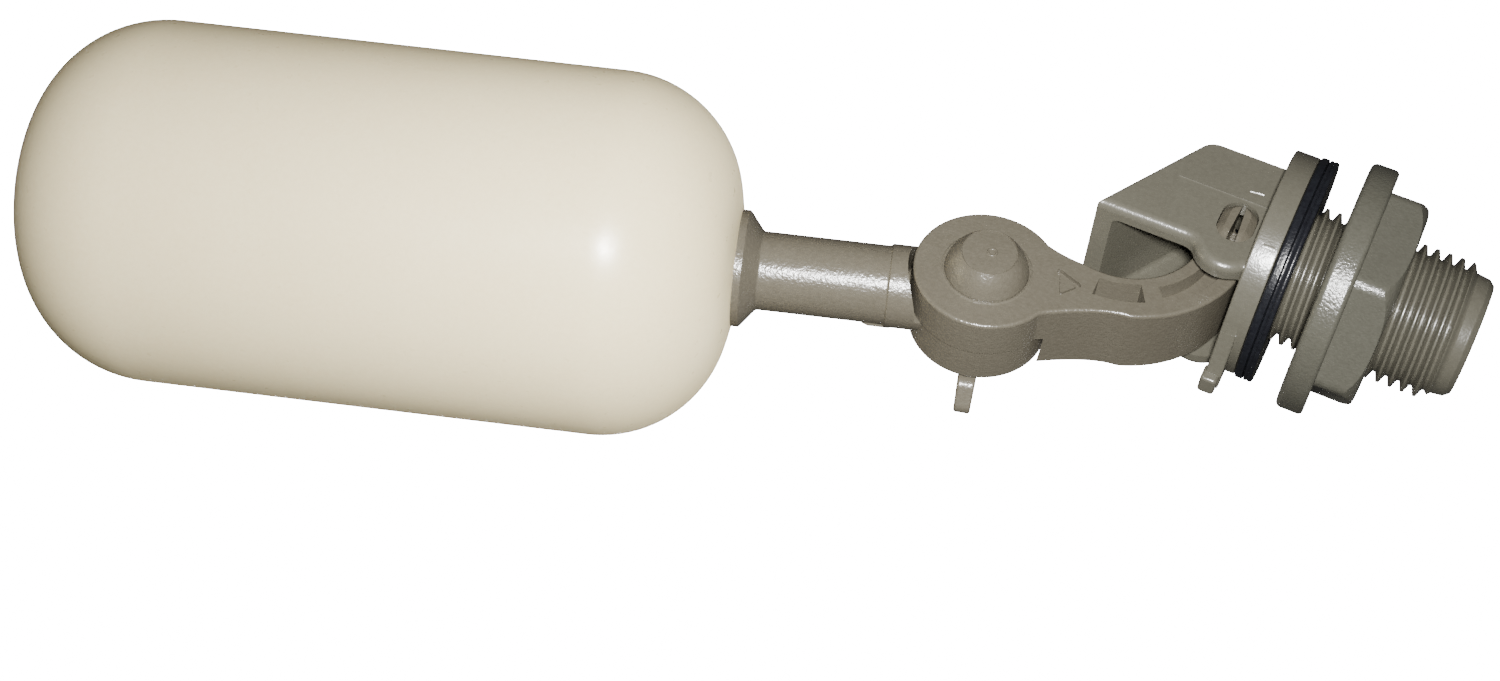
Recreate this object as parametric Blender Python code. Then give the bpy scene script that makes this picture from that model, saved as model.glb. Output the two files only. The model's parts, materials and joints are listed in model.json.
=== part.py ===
"""Plastic float valve for a water tank, as a Blender model in metres.

Frame: the origin is the centre of the flange's sealing face, on the inlet tail's axis.
+X runs out along the tail, through the tank wall. The float lies towards -X.
+Z is up and the two pivots run along Y. The float hangs down, so the valve is open.
Lengths below are in millimetres and angles in degrees, unless a name says otherwise.
"""

import math

import bmesh
import bpy
from mathutils import Matrix, Vector

MM = 0.001
GAP = 0.3
OVERRUN = 2.0

# Inlet tail and flange
THREAD_PITCH = 25.4 / 14.0
CREST_RADIUS = 10.5
ROOT_RADIUS = 9.1
THREAD_START = 2.2
THREAD_TURNS = 13
TAIL_END = 28.9
TIP_CHAMFER = 1.0
BORE_RADIUS = 6.6
BORE_FLOOR = -1.2
FLANGE_THICKNESS = 3.7
FLANGE_RADIUS = 16.85
NOZZLE_LENGTH = 1.3
NOZZLE_TIP_RADIUS = 2.2
NOZZLE_BASE_RADIUS = 2.7
ORIFICE_RADIUS = 1.3
TAB_Y = (5.5, 8.5)
TAB_THICKNESS = 2.4
TAB_BOTTOM = -20.0

# Hood over the lever
HOOD_HALF_WIDTH = 11.5
HOOD_WALL = 2.5
HOOD_TOP = 8.3
HOOD_SHOULDER_X = -15.4
SHOULDER_RADIUS = 3.0
HOOD_TOE_X = -26.6
HOOD_RIM_Z = -10.5
ROOF_WALL = 2.2
FRONT_WALL = 2.4
LOBE = (-7.0, -9.1)
LOBE_RADIUS = 4.7
HOOD_ROUNDING = 1.0

# Gasket and jam nut
GASKET_THICKNESS = 2.4
GASKET_RADIUS = 17.1
GASKET_GROOVE = 0.5
NUT_START = 6.9
NUT_FLANGE_THICKNESS = 4.1
NUT_FLANGE_RADIUS = 18.9
NUT_HEX_END = 17.0
NUT_ACROSS_CORNERS = 34.0
NUT_HEX_TURN = 35.3
NUT_CHAMFER = 1.4
NUT_BORE_RADIUS = 10.8

# Pivot and its split pin
PIVOT = (-7.06, -4.98)
PIN_RADIUS = 1.9
PIN_BORE_RADIUS = 2.15
PIN_END_HALF_X = 2.5
PIN_END_HALF_Z = 3.5
PIN_SLOT_WIDTH = 1.1
PIN_SLOT_LENGTH = 8.0
PIN_SLOT_DEPTH = 5.0
HUB_RADIUS = 3.06
CLOSING_ANGLE = 17.0

# Lever: a curved band about BEND, with the joint's disc at one end
LEVER_NEAR = -6.2
LEVER_FAR = 5.6
JOINT = (-36.5, -25.1)
DISC_RADIUS = 10.4
ARM_SEAT_RADIUS = 11.2
STEM_DISC_RADIUS = 10.1
STEM_DISC_FAR = 6.6
STEM_SEAT_RADIUS = 11.1
BEND = (-22.0, -6.7)
BAND_INNER = 11.1
BAND_OUTER = 18.25
POCKET_DEPTH = 2.2
POCKET_INNER = 12.8
POCKET_OUTER = 15.9
LEVER_ROUNDING = 0.7
HEAD_FRONT = -6.3
HEAD_BACK = -10.2
HEAD_TOP = 4.6
PAD_CENTRE_Z = 0.4
PAD_RADIUS = 2.7
PAD_THICKNESS = 2.5
PAD_FRONT = -5.1

# Joint bolt and wing nut
BOLT_RADIUS = 2.5
BOLT_HOLE_RADIUS = 2.8
BOLT_HEAD_RADIUS = 6.05
BOLT_TOP_RADIUS = 4.15
BOLT_HEAD_HEIGHT = 3.7
BOLT_TIP = 13.8
WING_HUB_RADIUS = 5.0
WING_HUB_END = 12.8
WING_REACH = 12.6
WING_THICKNESS = 2.9
WING_ANGLE = 15.0

# Float arm, along local -X from the joint
ARM_DROP = 19.1
STEM_RADIUS = 5.73
COLLAR_RADIUS = 6.05
COLLAR_END = 13.5
FLARE_START = 32.2
FLARE_RADIUS = 8.5
SPIGOT_RADIUS = 4.0
SPIGOT_END = 44.0
FLOAT_START = 34.7
FLOAT_LENGTH = 104.1
FLOAT_RADIUS = 26.5
FLOAT_CORNER = 18.5
FLOAT_CAP = 53.0
FLOAT_WALL = 1.5
SOCKET_RADIUS = 4.3
SOCKET_WALL = 1.6
SOCKET_END = 46.5


def clear_scene():
    for item in list(bpy.data.objects):
        bpy.data.objects.remove(item, do_unlink=True)


def material(name, colour, roughness, metallic=0.0):
    made = bpy.data.materials.new(name)
    made.use_nodes = True
    shader = made.node_tree.nodes["Principled BSDF"]
    shader.inputs["Base Color"].default_value = (*colour, 1.0)
    shader.inputs["Roughness"].default_value = roughness
    shader.inputs["Metallic"].default_value = metallic
    return made


def on_circle(centre, radius, degrees):
    """A point of the XZ plane, the angle counted from +X towards +Z."""
    turn = math.radians(degrees)
    return (centre[0] + radius * math.cos(turn), centre[1] + radius * math.sin(turn))


def arc(centre, radius, start, end, steps):
    turns = [start + (end - start) * step / steps for step in range(steps + 1)]
    return [on_circle(centre, radius, turn) for turn in turns]


def bend_curve(start, corner, end, steps):
    """The inner points of a quadratic curve from start to end, drawn to a corner."""
    points = []
    for step in range(1, steps):
        t = step / steps
        weights = ((1 - t) ** 2, 2 * t * (1 - t), t * t)
        points.append(tuple(sum(w * p[axis] for w, p in zip(weights, (start, corner, end)))
                            for axis in (0, 1)))
    return points


def opened(point):
    """A point given with the valve closed, turned back to the open rest pose."""
    turn = math.radians(CLOSING_ANGLE)
    dx, dz = point[0] - PIVOT[0], point[1] - PIVOT[1]
    return (PIVOT[0] + dx * math.cos(turn) - dz * math.sin(turn),
            PIVOT[1] + dx * math.sin(turn) + dz * math.cos(turn))


def finish_mesh(name, shape, look=None):
    """Turn a bmesh in millimetres into a smooth-shaded object in metres."""
    bmesh.ops.recalc_face_normals(shape, faces=shape.faces)
    bmesh.ops.scale(shape, vec=(MM, MM, MM), verts=shape.verts)
    mesh = bpy.data.meshes.new(name)
    shape.to_mesh(mesh)
    shape.free()
    mesh.shade_smooth()
    mesh.set_sharp_from_angle(angle=math.radians(30))
    made = bpy.data.objects.new(name, mesh)
    bpy.context.scene.collection.objects.link(made)
    if look:
        mesh.materials.append(look)
    return made


def prism_mesh(outline, low, high):
    """A closed outline of (x, z) points, extruded along Y."""
    shape = bmesh.new()
    rings = [[shape.verts.new((x, y, z)) for x, z in outline] for y in (low, high)]
    shape.faces.new(rings[0])
    shape.faces.new(reversed(rings[1]))
    count = len(outline)
    for i in range(count):
        j = (i + 1) % count
        shape.faces.new((rings[0][j], rings[0][i], rings[1][i], rings[1][j]))
    return shape


def turned_mesh(profile, segments):
    """A closed profile of (x, radius) points, turned about the X axis."""
    shape = bmesh.new()
    rings = []
    for x, radius in profile:
        if radius == 0:
            rings.append([shape.verts.new((x, 0, 0))] * segments)
            continue
        turns = [2 * math.pi * k / segments for k in range(segments)]
        rings.append([shape.verts.new((x, radius * math.cos(t), radius * math.sin(t)))
                      for t in turns])
    for near, far in zip(rings, rings[1:] + rings[:1]):
        for k in range(segments):
            m = (k + 1) % segments
            corners = list(dict.fromkeys((near[k], near[m], far[m], far[k])))
            if len(corners) > 2:
                shape.faces.new(corners)
    return shape


def prism(name, outline, low, high, look=None):
    return finish_mesh(name, prism_mesh(outline, low, high), look)


def turned(name, profile, segments, look=None):
    return finish_mesh(name, turned_mesh(profile, segments), look)


def along_y(name, centre, profile, segments, look=None):
    """A profile of (y, radius) points, turned about the line along Y through centre."""
    shape = turned_mesh(profile, segments)
    swing = Matrix.Rotation(math.radians(90), 4, "Z")
    bmesh.ops.transform(shape, matrix=swing, verts=shape.verts)
    bmesh.ops.translate(shape, vec=(centre[0], 0, centre[1]), verts=shape.verts)
    return finish_mesh(name, shape, look)


def rod_y(name, centre, radius, low, high, segments):
    profile = [(low, 0), (low, radius), (high, radius), (high, 0)]
    return along_y(name, centre, profile, segments)


def combine(target, other, operation):
    """Cut or join another object into the target; the other stays as a hidden guide."""
    step = target.modifiers.new(f"{operation} {other.name}", "BOOLEAN")
    step.operation = operation
    step.solver = "EXACT"
    step.object = other
    other.hide_render = True
    other.display_type = "WIRE"


def cut(target, *cutters):
    for cutter in cutters:
        combine(target, cutter, "DIFFERENCE")


def join(target, *others):
    for other in others:
        combine(target, other, "UNION")


def round_edges(target, width, segments=2, angle=40):
    step = target.modifiers.new("Rounded edges", "BEVEL")
    step.width = width * MM
    step.segments = segments
    step.limit_method = "ANGLE"
    step.angle_limit = math.radians(angle)
    step.harden_normals = False


def set_origin(target, x, z):
    """Move the origin onto the axis along Y through (x, z), leaving the shape in place."""
    shift = Vector((x * MM, 0, z * MM))
    target.data.transform(Matrix.Translation(-shift))
    target.location = shift


def thread_profile():
    """Ridges of the tail's thread, as (x, radius) points from the flange outwards."""
    points = []
    for turn in range(THREAD_TURNS):
        x = THREAD_START + turn * THREAD_PITCH
        points += [(x, ROOT_RADIUS), (x + 0.40 * THREAD_PITCH, CREST_RADIUS),
                   (x + 0.55 * THREAD_PITCH, CREST_RADIUS)]
    points.append((THREAD_START + THREAD_TURNS * THREAD_PITCH, ROOT_RADIUS))
    return points


def tail_profile():
    """Outside of the flange, tail and nozzle, then the bore, as one closed profile."""
    back = -FLANGE_THICKNESS
    tip = back - NOZZLE_LENGTH
    outside = [(tip, ORIFICE_RADIUS), (tip, NOZZLE_TIP_RADIUS), (back, NOZZLE_BASE_RADIUS),
               (back, FLANGE_RADIUS), (0, FLANGE_RADIUS), (0, ROOT_RADIUS)]
    end = [(TAIL_END - TIP_CHAMFER, ROOT_RADIUS), (TAIL_END, ROOT_RADIUS - TIP_CHAMFER),
           (TAIL_END, BORE_RADIUS), (BORE_FLOOR, BORE_RADIUS), (BORE_FLOOR, ORIFICE_RADIUS)]
    return outside + thread_profile() + end


def hood_outline():
    """Side view of the hood: roof, sloping front, rim and the lobe below the pivot."""
    drop = math.degrees(math.asin((LOBE[1] - HOOD_RIM_Z) / LOBE_RADIUS))
    lobe = arc(LOBE, LOBE_RADIUS, 180 + drop, 315, 7)
    slope = math.degrees(math.atan2(HOOD_TOP - HOOD_RIM_Z, HOOD_SHOULDER_X - HOOD_TOE_X))
    setback = SHOULDER_RADIUS * math.tan(math.radians(slope / 2))
    centre = (HOOD_SHOULDER_X + setback, HOOD_TOP - SHOULDER_RADIUS)
    shoulder = arc(centre, SHOULDER_RADIUS, 90, 90 + slope, 4)
    into_flange = -FLANGE_THICKNESS / 2
    return [(into_flange, HOOD_TOP), *shoulder, (HOOD_TOE_X, HOOD_RIM_Z),
            *lobe, (into_flange, lobe[-1][1])]


def hood_cavity():
    """Side view of the space under the hood, open below."""
    slope = Vector((HOOD_TOE_X - HOOD_SHOULDER_X, HOOD_RIM_Z - HOOD_TOP)).normalized()
    inset = FRONT_WALL / abs(slope.x)
    rise = slope.y / slope.x
    ceiling = HOOD_TOP - ROOF_WALL
    shoulder = HOOD_SHOULDER_X + (ceiling - (HOOD_TOP - inset)) / rise
    floor = LOBE[1] - LOBE_RADIUS - OVERRUN
    toe = HOOD_SHOULDER_X + (floor - (HOOD_TOP - inset)) / rise
    back = -FLANGE_THICKNESS
    return [(back, ceiling), (shoulder, ceiling), (toe, floor), (back, floor)]


def oval(half_x, half_z, steps=24):
    turns = [2 * math.pi * k / steps for k in range(steps)]
    return [(PIVOT[0] + half_x * math.cos(t), PIVOT[1] + half_z * math.sin(t)) for t in turns]


def make_valve_body(look):
    body = turned("valve_body", tail_profile(), 36, look)
    hood = prism("hood_block", hood_outline(), -HOOD_HALF_WIDTH, HOOD_HALF_WIDTH)
    round_edges(hood, HOOD_ROUNDING)
    inner = HOOD_HALF_WIDTH - HOOD_WALL
    cut(hood, prism("hood_hollow", hood_cavity(), -inner, inner))
    cut(hood, prism("pin_holes", oval(PIN_END_HALF_X + GAP, PIN_END_HALF_Z + GAP),
                    -HOOD_HALF_WIDTH - OVERRUN, HOOD_HALF_WIDTH + OVERRUN))
    back = -FLANGE_THICKNESS
    tab_outline = [(back, -FLANGE_RADIUS + OVERRUN), (back, TAB_BOTTOM),
                   (back + TAB_THICKNESS, TAB_BOTTOM),
                   (back + TAB_THICKNESS, -FLANGE_RADIUS + OVERRUN)]
    tab = prism("tab_block", tab_outline, *TAB_Y)
    join(body, hood, tab)
    return body


def make_gasket(look):
    inner = CREST_RADIUS + GAP
    near, far = GAP, GAP + GASKET_THICKNESS
    middle = (near + far) / 2
    profile = [(near, inner), (near, GASKET_RADIUS), (middle - GASKET_GROOVE, GASKET_RADIUS),
               (middle, GASKET_RADIUS - GASKET_GROOVE), (middle + GASKET_GROOVE, GASKET_RADIUS),
               (far, GASKET_RADIUS), (far, inner)]
    return turned("sealing_gasket", profile, 36, look)


def make_jam_nut(look):
    flange_end = NUT_START + NUT_FLANGE_THICKNESS
    profile = [(NUT_START, 0), (NUT_START, NUT_FLANGE_RADIUS), (flange_end, NUT_FLANGE_RADIUS),
               (flange_end, 0)]
    nut = turned("jam_nut", profile, 36, look)
    corner = NUT_ACROSS_CORNERS / 2
    hex_profile = [(flange_end - 1, 0), (flange_end - 1, corner),
                   (NUT_HEX_END - NUT_CHAMFER, corner), (NUT_HEX_END, corner - NUT_CHAMFER),
                   (NUT_HEX_END, 0)]
    block = turned("nut_hexagon", hex_profile, 6)
    block.data.transform(Matrix.Rotation(math.radians(180 + NUT_HEX_TURN), 4, "X"))
    bore = [(NUT_START - 1, 0), (NUT_START - 1, NUT_BORE_RADIUS),
            (NUT_HEX_END + 1, NUT_BORE_RADIUS), (NUT_HEX_END + 1, 0)]
    join(nut, block)
    cut(nut, turned("nut_bore", bore, 36))
    return nut


def make_pivot_pin(look):
    """Plain shaft with an oval split end in each cheek."""
    reach = HOOD_HALF_WIDTH - 0.1
    start = HOOD_HALF_WIDTH - HOOD_WALL + GAP
    pin = rod_y("pivot_pin", PIVOT, PIN_RADIUS, -start - 0.5, start + 0.5, 24)
    pin.data.materials.append(look)
    for side in (-1, 1):
        low, high = sorted((side * start, side * reach))
        join(pin, prism(f"pin_end_{side}", oval(PIN_END_HALF_X, PIN_END_HALF_Z), low, high))
    half_slot = PIN_SLOT_WIDTH / 2
    half_length = PIN_SLOT_LENGTH / 2
    slot = [(PIVOT[0] - half_slot, PIVOT[1] - half_length),
            (PIVOT[0] + half_slot, PIVOT[1] - half_length),
            (PIVOT[0] + half_slot, PIVOT[1] + half_length),
            (PIVOT[0] - half_slot, PIVOT[1] + half_length)]
    cut(pin, prism("pin_slot", slot, -reach - OVERRUN, -reach + PIN_SLOT_DEPTH))
    return pin


def lever_outline():
    """Side view: joint disc, curved band, hub beside the flange and head with the seal."""
    shoulder = on_circle(JOINT, DISC_RADIUS, 54)
    chin = on_circle(JOINT, DISC_RADIUS, -22)
    disc = arc(JOINT, DISC_RADIUS, 54, 338, 22)
    belly = on_circle(BEND, BAND_OUTER, -69)
    outer = arc(BEND, BAND_OUTER, -69, -13.5, 7)
    hub = arc(PIVOT, HUB_RADIUS, 0, 92, 5)
    head = [opened((HEAD_FRONT, HEAD_TOP)), opened((HEAD_BACK, HEAD_TOP))]
    inner = arc(BEND, BAND_INNER, 10, -101, 13)
    lower = bend_curve(chin, (-19.5, -24.0), belly, 4)
    upper = bend_curve(inner[-1], (-27.8, -17.6), shoulder, 3)
    return disc + lower + outer + hub + head + inner + upper


def band_pocket(start, end, steps):
    inside = arc(BEND, POCKET_INNER, start, end, steps)
    outside = arc(BEND, POCKET_OUTER, end, start, steps)
    return inside + outside


def make_lever(look):
    lever = prism("lever", lever_outline(), LEVER_NEAR, LEVER_FAR, look)
    round_edges(lever, LEVER_ROUNDING, segments=1, angle=60)
    web = [(-27.5, -20.1), (-23.1, -21.6), (-25.6, -25.0)]
    pockets = [web, band_pocket(-88, -61, 3), band_pocket(-50, -18, 4)]
    near, far = LEVER_NEAR - OVERRUN, LEVER_FAR + OVERRUN
    for index, outline in enumerate(pockets):
        cut(lever, prism(f"near_pocket_{index}", outline, near, LEVER_NEAR + POCKET_DEPTH))
        cut(lever, prism(f"far_pocket_{index}", outline, LEVER_FAR - POCKET_DEPTH, far))
    cut(lever, rod_y("arm_seat", JOINT, ARM_SEAT_RADIUS, -GAP / 2, far, 48))
    cut(lever, rod_y("lever_bolt_hole", JOINT, BOLT_HOLE_RADIUS, near, OVERRUN, 24))
    cut(lever, rod_y("lever_pivot_hole", PIVOT, PIN_BORE_RADIUS, near, far, 24))
    cut(lever, pad_block("pad_pocket", 0.15, OVERRUN))
    set_origin(lever, *PIVOT)
    return lever


def pad_block(name, slack, overrun, look=None):
    """The seal pad's disc, tilted back with the open lever, grown all round by slack."""
    profile = [(PAD_FRONT - PAD_THICKNESS - slack, 0),
               (PAD_FRONT - PAD_THICKNESS - slack, PAD_RADIUS + slack),
               (PAD_FRONT + overrun, PAD_RADIUS + slack), (PAD_FRONT + overrun, 0)]
    shape = turned_mesh(profile, 24)
    bmesh.ops.translate(shape, vec=(0, 0, PAD_CENTRE_Z), verts=shape.verts)
    about = Vector((PIVOT[0], 0, PIVOT[1]))
    tilt = Matrix.Rotation(math.radians(-CLOSING_ANGLE), 4, "Y")
    move = Matrix.Translation(about) @ tilt @ Matrix.Translation(-about)
    bmesh.ops.transform(shape, matrix=move, verts=shape.verts)
    return finish_mesh(name, shape, look)


def make_seal_pad(look):
    pad = pad_block("seal_pad", 0, 0, look)
    set_origin(pad, *PIVOT)
    return pad


def make_joint_bolt(look):
    """Domed head outside the lever's half of the joint, shank through both halves."""
    face = LEVER_NEAR - 0.1
    top = LEVER_NEAR - BOLT_HEAD_HEIGHT
    profile = [(top, 0), (top, BOLT_TOP_RADIUS), (top + 0.5, BOLT_TOP_RADIUS + 0.5),
               (top + 1.8, BOLT_HEAD_RADIUS - 0.8), (face - 0.6, BOLT_HEAD_RADIUS),
               (face, BOLT_HEAD_RADIUS), (face, BOLT_RADIUS), (BOLT_TIP, BOLT_RADIUS),
               (BOLT_TIP, 0)]
    bolt = along_y("joint_bolt", JOINT, profile, 28, look)
    set_origin(bolt, *JOINT)
    return bolt


def make_wing_nut(look):
    start = STEM_DISC_FAR + GAP
    profile = [(start, BOLT_HOLE_RADIUS), (start, WING_HUB_RADIUS + 0.6),
               (WING_HUB_END, WING_HUB_RADIUS), (WING_HUB_END, BOLT_HOLE_RADIUS)]
    nut = along_y("wing_nut", JOINT, profile, 24, look)
    reach = WING_REACH
    for side in (-1, 1):
        shape = bmesh.new()
        tip = [(3.6, start + 0.5), (reach - 2.4, start + 0.9), (reach, start + 4.0),
               (reach, start + 5.1), (reach - 1.0, start + 6.1), (3.6, start + 5.0)]
        rings = [[shape.verts.new((x, y, -side * r)) for r, y in tip]
                 for x in (-WING_THICKNESS / 2, WING_THICKNESS / 2)]
        shape.faces.new(rings[0])
        shape.faces.new(reversed(rings[1]))
        for i in range(len(tip)):
            j = (i + 1) % len(tip)
            shape.faces.new((rings[0][j], rings[0][i], rings[1][i], rings[1][j]))
        bmesh.ops.rotate(shape, matrix=Matrix.Rotation(math.radians(-WING_ANGLE), 3, "Y"),
                         verts=shape.verts)
        bmesh.ops.translate(shape, vec=(JOINT[0], 0, JOINT[1]), verts=shape.verts)
        wing = finish_mesh(f"wing_{side}", shape)
        round_edges(wing, 0.5, segments=1)
        join(nut, wing)
    set_origin(nut, *JOINT)
    cut(nut, rod_y("wing_bolt_hole", JOINT, BOLT_HOLE_RADIUS, start - OVERRUN,
                   WING_HUB_END + OVERRUN, 24))
    return nut


def cap_profile(start, shrink, inner_radius, steps):
    """Half outline of the float's round end, from its axis side out to the full radius."""
    cap = FLOAT_CAP - shrink
    corner = FLOAT_CORNER - shrink
    radius = FLOAT_RADIUS - shrink
    lean = math.asin((radius - corner) / (cap - corner))
    first = math.asin(inner_radius / cap) if inner_radius else 0
    points = []
    for step in range(3):
        turn = first + (lean - first) * step / 3
        points.append((start + cap * (1 - math.cos(turn)), cap * math.sin(turn)))
    centre = start + cap - (cap - corner) * math.cos(lean)
    for step in range(steps + 1):
        turn = lean + (math.pi / 2 - lean) * step / steps
        points.append((centre - corner * math.cos(turn), radius - corner + corner * math.sin(turn)))
    return points


def float_profile():
    """Outside from the socket to the far end, then back along the inside."""
    end = FLOAT_START + FLOAT_LENGTH
    near = cap_profile(FLOAT_START, 0, SOCKET_RADIUS, 7)
    far = [(end + FLOAT_START - s, r) for s, r in reversed(cap_profile(FLOAT_START, 0, 0, 7))]
    inner_near = cap_profile(FLOAT_START + FLOAT_WALL, FLOAT_WALL, SOCKET_RADIUS + SOCKET_WALL, 4)
    inner_far = [(end + FLOAT_START - s, r)
                 for s, r in cap_profile(FLOAT_START + FLOAT_WALL, FLOAT_WALL, 0, 4)]
    tube = [(SOCKET_END, SOCKET_RADIUS + SOCKET_WALL), (SOCKET_END, SOCKET_RADIUS)]
    return near + far + inner_far + list(reversed(inner_near)) + tube


def place_on_arm(item):
    """Set an arm part, modelled along -X from its own origin, at the joint and angle."""
    item.location = (JOINT[0] * MM, 0, JOINT[1] * MM)
    item.rotation_euler = (0, math.radians(-ARM_DROP), 0)


def make_float(look):
    shell = turned("float_shell", [(-s, r) for s, r in float_profile()], 36, look)
    place_on_arm(shell)
    return shell


def make_float_stem(look):
    """Half disc of the joint, collar, round stem, flare against the float and spigot."""
    lip = [(FLOAT_CAP * (1 - math.cos(math.asin(r / FLOAT_CAP))), r)
           for r in (FLARE_RADIUS, 6.0)]
    profile = [(7.0, 0), (7.0, COLLAR_RADIUS), (COLLAR_END, COLLAR_RADIUS),
               (COLLAR_END + 0.3, STEM_RADIUS), (FLARE_START, STEM_RADIUS),
               (FLOAT_START - 0.9, FLARE_RADIUS - 0.4), (FLOAT_START - 0.4, FLARE_RADIUS)]
    profile += [(FLOAT_START - GAP + s, r) for s, r in lip]
    profile += [(FLOAT_START - GAP, SPIGOT_RADIUS), (SPIGOT_END, SPIGOT_RADIUS), (SPIGOT_END, 0)]
    rod = turned("stem_rod", [(-s, r) for s, r in profile], 32)
    cut(rod, rod_y("lever_seat", (0, 0), STEM_SEAT_RADIUS, LEVER_NEAR - OVERRUN, GAP, 48))
    step = prism("stem_step", [(-COLLAR_END + 1, -STEM_RADIUS + 2),
                               (-COLLAR_END - 3.2, -STEM_RADIUS + 0.2),
                               (-COLLAR_END - 2.4, -COLLAR_RADIUS - 0.3),
                               (-COLLAR_END + 1, -COLLAR_RADIUS - 0.3)], -2.2, 2.2)
    disc = [(GAP / 2, 0), (GAP / 2, STEM_DISC_RADIUS), (STEM_DISC_FAR - 0.6, STEM_DISC_RADIUS),
            (STEM_DISC_FAR, STEM_DISC_RADIUS - 0.6), (STEM_DISC_FAR, 0)]
    stem = along_y("float_stem", (0, 0), disc, 48, look)
    join(stem, rod, step)
    cut(stem, rod_y("stem_bolt_hole", (0, 0), BOLT_HOLE_RADIUS, -OVERRUN,
                    STEM_DISC_FAR + OVERRUN, 24))
    for item in (stem, rod, step, bpy.data.objects["lever_seat"],
                 bpy.data.objects["stem_bolt_hole"]):
        place_on_arm(item)
    return stem


def main():
    clear_scene()
    body_grey = material("body_grey", (0.205, 0.190, 0.155), 0.42)
    lever_grey = material("lever_grey", (0.215, 0.185, 0.145), 0.50)
    float_cream = material("float_cream", (0.72, 0.68, 0.57), 0.40)
    rubber_black = material("rubber_black", (0.012, 0.013, 0.016), 0.45)
    make_valve_body(body_grey)
    make_gasket(rubber_black)
    make_jam_nut(body_grey)
    make_pivot_pin(lever_grey)
    make_lever(lever_grey)
    make_seal_pad(rubber_black)
    make_joint_bolt(lever_grey)
    make_wing_nut(lever_grey)
    make_float_stem(lever_grey)
    make_float(float_cream)


main()
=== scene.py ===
"""Looks for the float valve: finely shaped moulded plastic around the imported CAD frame.

Lengths are in millimetres and angles in degrees, unless a comment says otherwise.
"""

import json
import math

import bmesh
import bpy
from mathutils import Matrix, Vector


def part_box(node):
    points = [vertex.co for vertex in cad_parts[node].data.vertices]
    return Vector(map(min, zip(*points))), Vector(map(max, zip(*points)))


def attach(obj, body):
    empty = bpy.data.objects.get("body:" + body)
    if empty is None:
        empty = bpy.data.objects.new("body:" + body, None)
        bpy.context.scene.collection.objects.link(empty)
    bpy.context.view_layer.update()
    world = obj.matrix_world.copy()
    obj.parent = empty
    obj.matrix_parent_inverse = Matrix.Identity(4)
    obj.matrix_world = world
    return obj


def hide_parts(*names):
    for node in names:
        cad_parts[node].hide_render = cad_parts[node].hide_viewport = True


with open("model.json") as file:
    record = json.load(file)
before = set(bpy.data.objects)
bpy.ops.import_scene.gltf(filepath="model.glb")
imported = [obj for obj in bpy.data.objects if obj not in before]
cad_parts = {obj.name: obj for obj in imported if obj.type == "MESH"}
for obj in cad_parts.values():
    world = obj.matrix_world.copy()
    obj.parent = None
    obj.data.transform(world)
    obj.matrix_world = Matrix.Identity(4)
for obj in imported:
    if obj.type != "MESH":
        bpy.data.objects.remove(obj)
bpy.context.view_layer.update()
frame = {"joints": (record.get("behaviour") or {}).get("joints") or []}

MM = 0.001


def in_mm(values):
    return [value / MM for value in values]


def joint_axis(name):
    """Where a hinge's axis crosses the XZ plane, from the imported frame."""
    found = next(joint for joint in frame["joints"] if joint["name"] == name)
    x, _, z = in_mm(found["pos_m"])
    return (x, z)


PIVOT = joint_axis("lever_hinge")
JOINT = joint_axis("arm_angle")
BODY_LOW, BODY_HIGH = (in_mm(corner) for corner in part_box("valve_body"))
NUT_LOW, NUT_HIGH = (in_mm(corner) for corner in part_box("jam_nut"))
GASKET_HIGH = in_mm(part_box("sealing_gasket")[1])
LEVER_LOW, LEVER_HIGH = (in_mm(corner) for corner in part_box("lever"))
FLOAT_HIGH = in_mm(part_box("float_shell")[1])
BOLT_LOW, BOLT_HIGH = (in_mm(corner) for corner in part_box("joint_bolt"))

# Inlet tail and flange
THREAD_PITCH = 25.4 / 14.0
THREAD_PHASE = 1.1
# The thread's outline over one pitch: share of the pitch, share of the full height
THREAD_PROFILE = ((0.0, 0.0), (0.07, 0.0), (0.12, 0.08), (0.36, 0.9), (0.42, 1.0), (0.50, 0.95),
                  (0.58, 1.0), (0.64, 0.9), (0.88, 0.08), (0.93, 0.0))
CREST_RADIUS = 10.5
ROOT_RADIUS = 9.15
THREAD_START = 1.2
THREAD_END = 26.4
THREAD_LEAD_IN = 2.5
THREAD_SPARE_TURNS = 4
TIP_TAPER = 0.13
TIP_LENGTH = 1.1
TAIL_START = -0.6
TAIL_END = BODY_HIGH[0]
TAIL_COLUMNS = 108
BORE_RADIUS = 6.6
BORE_FLOOR = -1.2
FLANGE_BACK = -3.7
FLANGE_STEP = -1.3
FLANGE_RADIUS = BODY_HIGH[2]
FLANGE_RIM_ROUNDING = 0.35
ORIFICE_RADIUS = 1.3
NOZZLE_TIP = -5.0
NOZZLE_RADIUS = 2.0
NOZZLE_FOOT_RADIUS = 2.7
NOZZLE_ROOM_RADIUS = 5
TAB_Y = (5.5, 8.5)
TAB_ROOT = -18.6
TAB_BOTTOM = -20.0
# Fine marks across the flange's rim: turn, start, end, half width, rise
RIM_MARKS = ((-145.5, -2.4, -0.7, 0.3, 0.06), (-96.8, -3.5, -1.35, 0.16, 0.13))

# Hood
HOOD_HALF_WIDTH = 11.5
HOOD_WALL = 2.5
HOOD_TOP = 8.3
HOOD_SHOULDER_X = -15.4
SHOULDER_RADIUS = 3.0
HOOD_TOE_X = BODY_LOW[0]
HOOD_RIM_Z = -10.5
ROOF_WALL = 2.2
FRONT_WALL = 2.4
LOBE = (-7.0, -9.1)
LOBE_RADIUS = 4.7
LOBE_FILLET = 1.7
# Degrees of the lobe's arc that each millimetre of its fillet takes up
LOBE_FILLET_TURN = 9
LOBE_END = 315
RIM_ROUNDING = 1.8
ROOF_ROUNDING = 0.7
TOE_ROUNDING = 0.45
HOLLOW_ROUNDING = 0.9
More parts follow.
